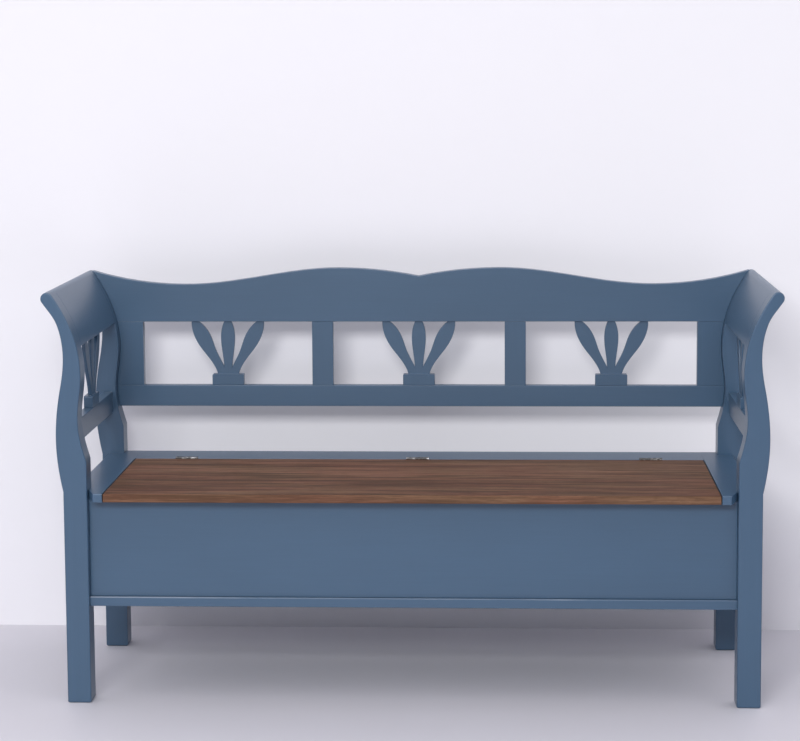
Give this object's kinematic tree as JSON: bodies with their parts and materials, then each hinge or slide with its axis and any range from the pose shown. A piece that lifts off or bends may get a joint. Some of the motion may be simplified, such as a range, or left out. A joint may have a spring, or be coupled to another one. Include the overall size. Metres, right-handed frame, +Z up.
{
  "type": "storage bench",
  "caption": "Painted wooden storage bench with S-curved sleigh arms, cut-out tulip splats in back and arms, and a hinged wooden seat lid over a closed box.",
  "frame": {"origin": "on the floor, in the middle of the bench's length and depth", "axes": "+X along the bench to the right as seen from the front, +Y from the front to the back, +Z up"},
  "size_m": [1.5, 0.504, 0.8593],
  "materials": {
    "blue_paint": "satin blue-grey paint on wood",
    "stained_wood": "walnut-stained, satin varnish",
    "bare_wood": "planed softwood",
    "hinge_steel": "zinc plated",
    "screw_steel": "zinc plated"
  },
  "bodies": {
    "frame": {"arm_lower_rail_left": "blue_paint", "arm_lower_rail_right": "blue_paint", "arm_splat_left": "blue_paint", "arm_splat_right": "blue_paint", "arm_top_rail_left": "blue_paint", "arm_top_rail_right": "blue_paint", "back_end_stile_left": "blue_paint", "back_end_stile_right": "blue_paint", "back_lower_rail": "blue_paint", "back_middle_stile_left": "blue_paint", "back_middle_stile_right": "blue_paint", "back_panel": "blue_paint", "back_post_left": "blue_paint", "back_post_right": "blue_paint", "back_splat_centre": "blue_paint", "back_splat_left": "blue_paint", "back_splat_right": "blue_paint", "bottom_board": "blue_paint", "box_cleat_back": "bare_wood", "box_cleat_front": "bare_wood", "box_cleat_left": "bare_wood", "box_cleat_right": "bare_wood", "crest_rail": "blue_paint", "front_panel": "blue_paint", "front_post_left": "blue_paint", "front_post_right": "blue_paint", "hinge_bearer": "bare_wood", "hinge_frame_leaf_centre": "hinge_steel", "hinge_frame_leaf_left": "hinge_steel", "hinge_frame_leaf_right": "hinge_steel", "hinge_frame_screws": "screw_steel", "hinge_pin_centre": "hinge_steel", "hinge_pin_left": "hinge_steel", "hinge_pin_right": "hinge_steel", "seat_back_strip": "blue_paint", "seat_bearer_left": "bare_wood", "seat_bearer_right": "bare_wood", "seat_side_strip_left": "blue_paint", "seat_side_strip_right": "blue_paint", "side_panel_left": "blue_paint", "side_panel_right": "blue_paint"},
    "lid": {"hinge_lid_leaf_centre": "hinge_steel", "hinge_lid_leaf_left": "hinge_steel", "hinge_lid_leaf_right": "hinge_steel", "hinge_lid_screws": "screw_steel", "lid_batten_centre": "bare_wood", "lid_batten_left": "bare_wood", "lid_batten_right": "bare_wood", "lid_panel": "stained_wood"}
  },
  "joints": [
    {"name": "lid_hinge", "type": "hinge", "parent": "frame", "child": "lid", "pos_m": [0, 0.139, 0.446], "axis": [-1, 0, 0], "range_deg": [0, 103]}
  ]
}
